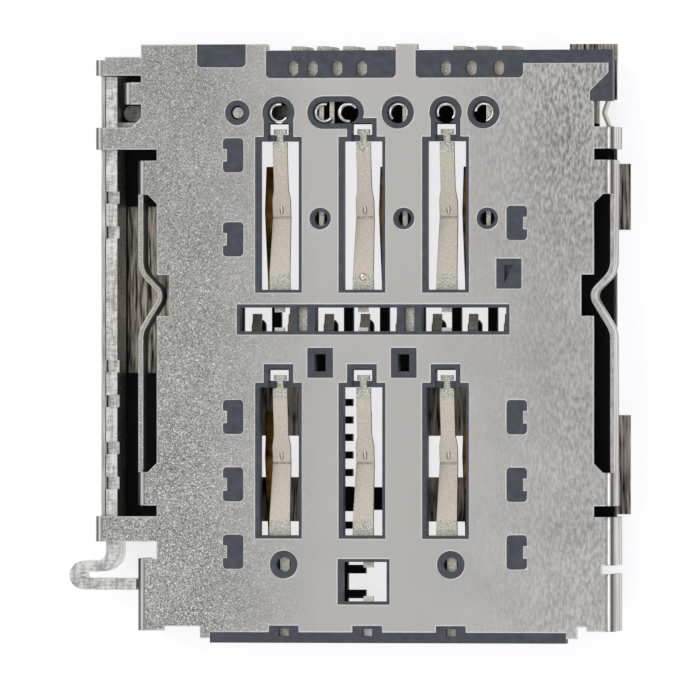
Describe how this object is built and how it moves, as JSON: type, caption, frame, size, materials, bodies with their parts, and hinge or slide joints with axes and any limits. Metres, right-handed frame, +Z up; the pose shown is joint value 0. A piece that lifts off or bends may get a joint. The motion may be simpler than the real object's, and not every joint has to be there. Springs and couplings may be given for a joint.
{
  "type": "sim card socket",
  "caption": "Low board-mounted tray socket for two phone cards, with spring contacts, stamped covers and an eject rod and lever.",
  "frame": {"origin": "middle of the footprint on the circuit board, under the base", "axes": "+X to the right seen from above, +Y to the rear with the solder tails, -Y the tray mouth, +Z up off the board"},
  "size_m": [0.0168, 0.0181, 0.0025],
  "materials": {
    "cover_steel": "fine rolled stainless",
    "base_steel": "stainless",
    "rod_steel": "bright blanked stainless",
    "lever_steel": "stainless",
    "contact_alloy": "nickel plated copper alloy",
    "gilt_alloy": "gold flashed copper alloy",
    "top_plastic": "glass filled moulding",
    "base_plastic": "glass filled moulding"
  },
  "bodies": {
    "socket": {"top_shell": "cover_steel", "base_shell": "base_steel", "top_moulding": "top_plastic", "base_moulding": "base_plastic", "lever_pivot_pin": "lever_steel", "carrier_stubs": "contact_alloy", "detect_leaf": "contact_alloy", "detect_contact": "contact_alloy", "sim_contact_1": "contact_alloy", "second_sim_contact_1": "gilt_alloy", "sim_contact_2": "contact_alloy", "second_sim_contact_2": "gilt_alloy", "sim_contact_3": "contact_alloy", "second_sim_contact_3": "gilt_alloy", "sim_contact_4": "contact_alloy", "second_sim_contact_4": "gilt_alloy", "sim_contact_5": "contact_alloy", "second_sim_contact_5": "gilt_alloy", "sim_contact_6": "contact_alloy", "second_sim_contact_6": "gilt_alloy", "card_contact_1": "gilt_alloy", "card_contact_2": "gilt_alloy", "card_contact_3": "gilt_alloy", "card_contact_4": "gilt_alloy", "card_contact_5": "gilt_alloy", "card_contact_6": "gilt_alloy", "card_contact_7": "gilt_alloy", "card_contact_8": "gilt_alloy"},
    "rod": {"eject_rod": "rod_steel"},
    "lever": {"eject_lever": "lever_steel"}
  },
  "joints": [
    {"name": "eject_rod_slide", "type": "slide", "parent": "socket", "child": "rod", "axis": [0, 1, 0], "range_m": [0, 0.0005]},
    {"name": "eject_lever_turn", "type": "hinge", "parent": "socket", "child": "lever", "pos_m": [-0.00322, 0.00687, 0.0012], "axis": [0, 0, 1], "range_deg": [-8.6, 0]}
  ],
  "couplings": [
    {"joint": "eject_lever_turn", "follows": "eject_rod_slide", "rad_per_m": -292.4}
  ]
}
